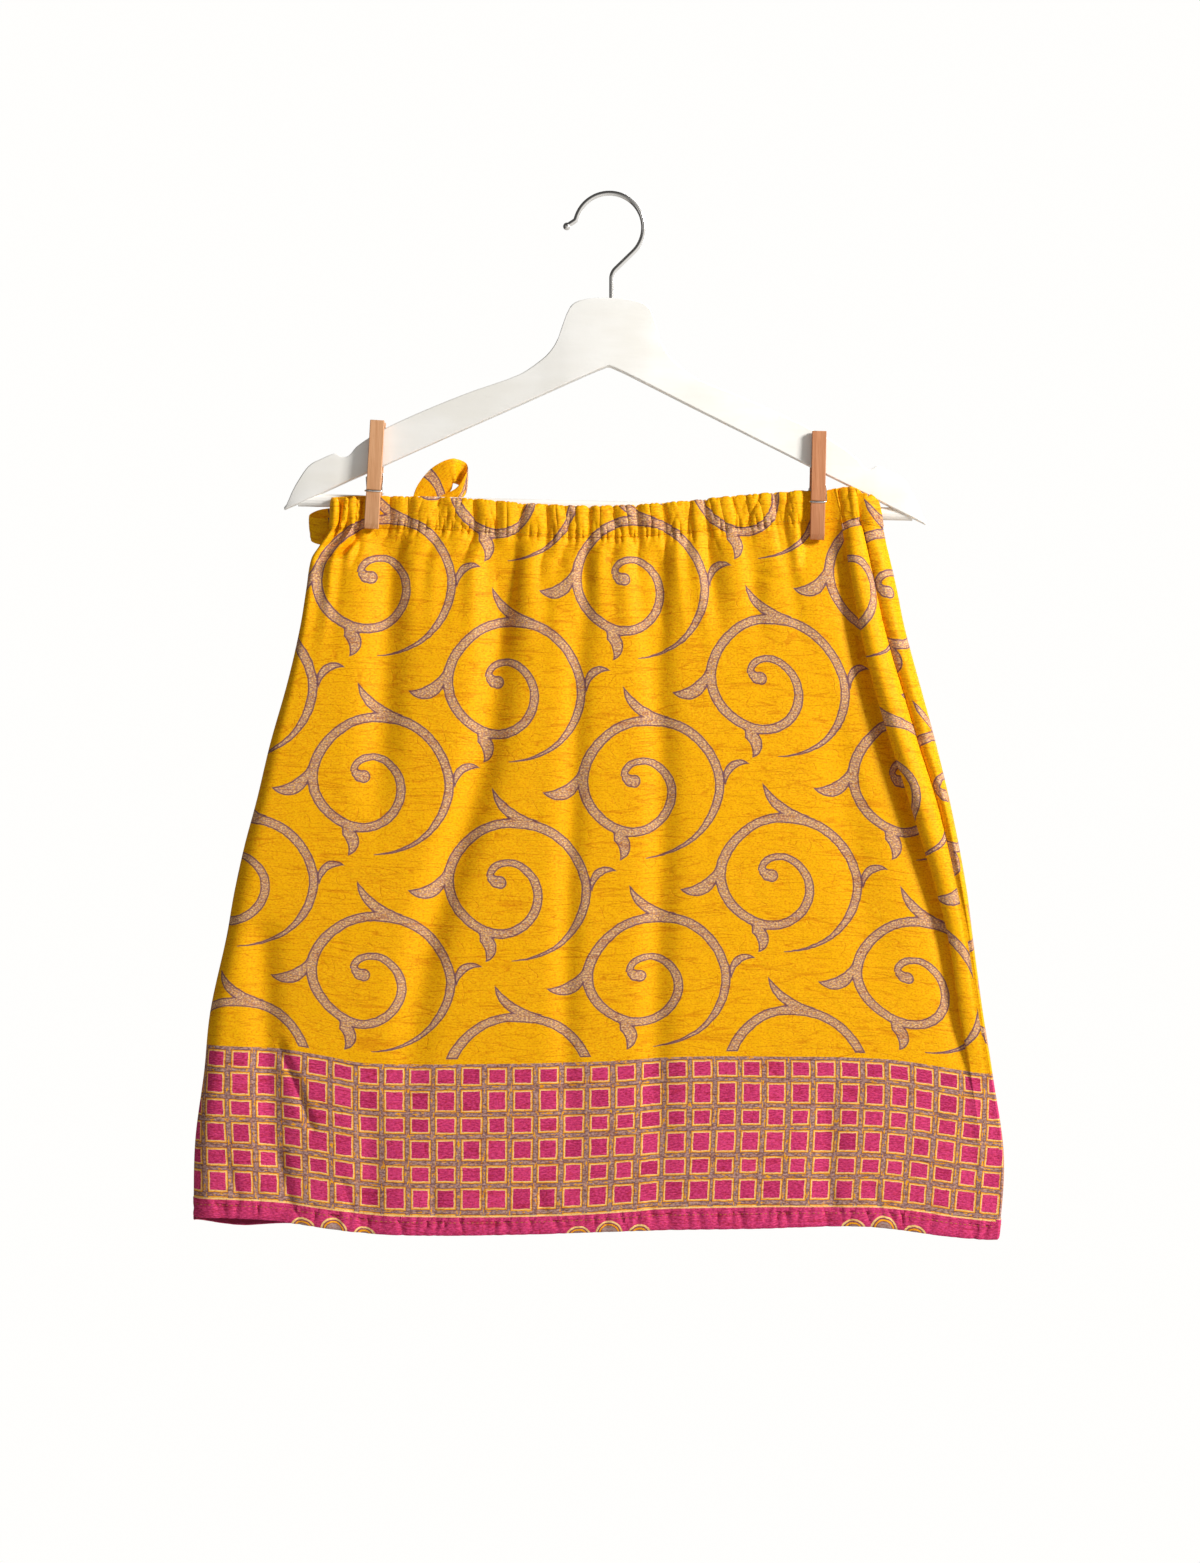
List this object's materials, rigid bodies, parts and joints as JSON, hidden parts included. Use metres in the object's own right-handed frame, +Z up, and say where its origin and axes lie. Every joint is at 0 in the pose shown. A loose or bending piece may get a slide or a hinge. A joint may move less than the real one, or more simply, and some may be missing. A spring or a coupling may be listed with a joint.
{
  "type": "wrap skirt on hanger",
  "caption": "Short wrap skirt with a gathered waist, a rolled side fold and a square-print border, hanging flat from a white wooden hanger by clothes pegs.",
  "frame": {"origin": "inside top of the hanger's hook, where it rests on a rail", "axes": "+Z up, +X to the viewer's right, the skirt's front faces -Y"},
  "size_m": [0.5433, 0.0505, 0.7054],
  "materials": {
    "cloth_yellow": "woven silk and cotton, soft sheen, printed with mauve scrolls",
    "cloth_pink": "the same cloth, printed pink",
    "painted_wood": "satin warm white paint",
    "bare_wood": "bare sawn beech",
    "steel": "bright plated wire"
  },
  "bodies": {
    "root": {"casing_front": "cloth_yellow", "front_panel": "cloth_yellow", "hem_front": "cloth_pink", "casing_back_over": "cloth_yellow", "back_panel_over": "cloth_yellow", "hem_back_over": "cloth_pink", "casing_back_under": "cloth_yellow", "back_panel_under": "cloth_yellow", "hem_back_under": "cloth_pink", "tie_knot": "cloth_yellow", "tie_loop_side": "cloth_yellow", "tie_loop_top": "cloth_yellow", "tie_tail_long": "cloth_yellow", "tie_tail_short": "cloth_yellow", "hanger_body": "painted_wood", "hanger_bar": "painted_wood", "hanger_hook": "steel", "peg_left_front": "bare_wood", "peg_left_back": "bare_wood", "peg_left_spring": "steel", "peg_right_front": "bare_wood", "peg_right_back": "bare_wood", "peg_right_spring": "steel"}
  },
  "joints": []
}
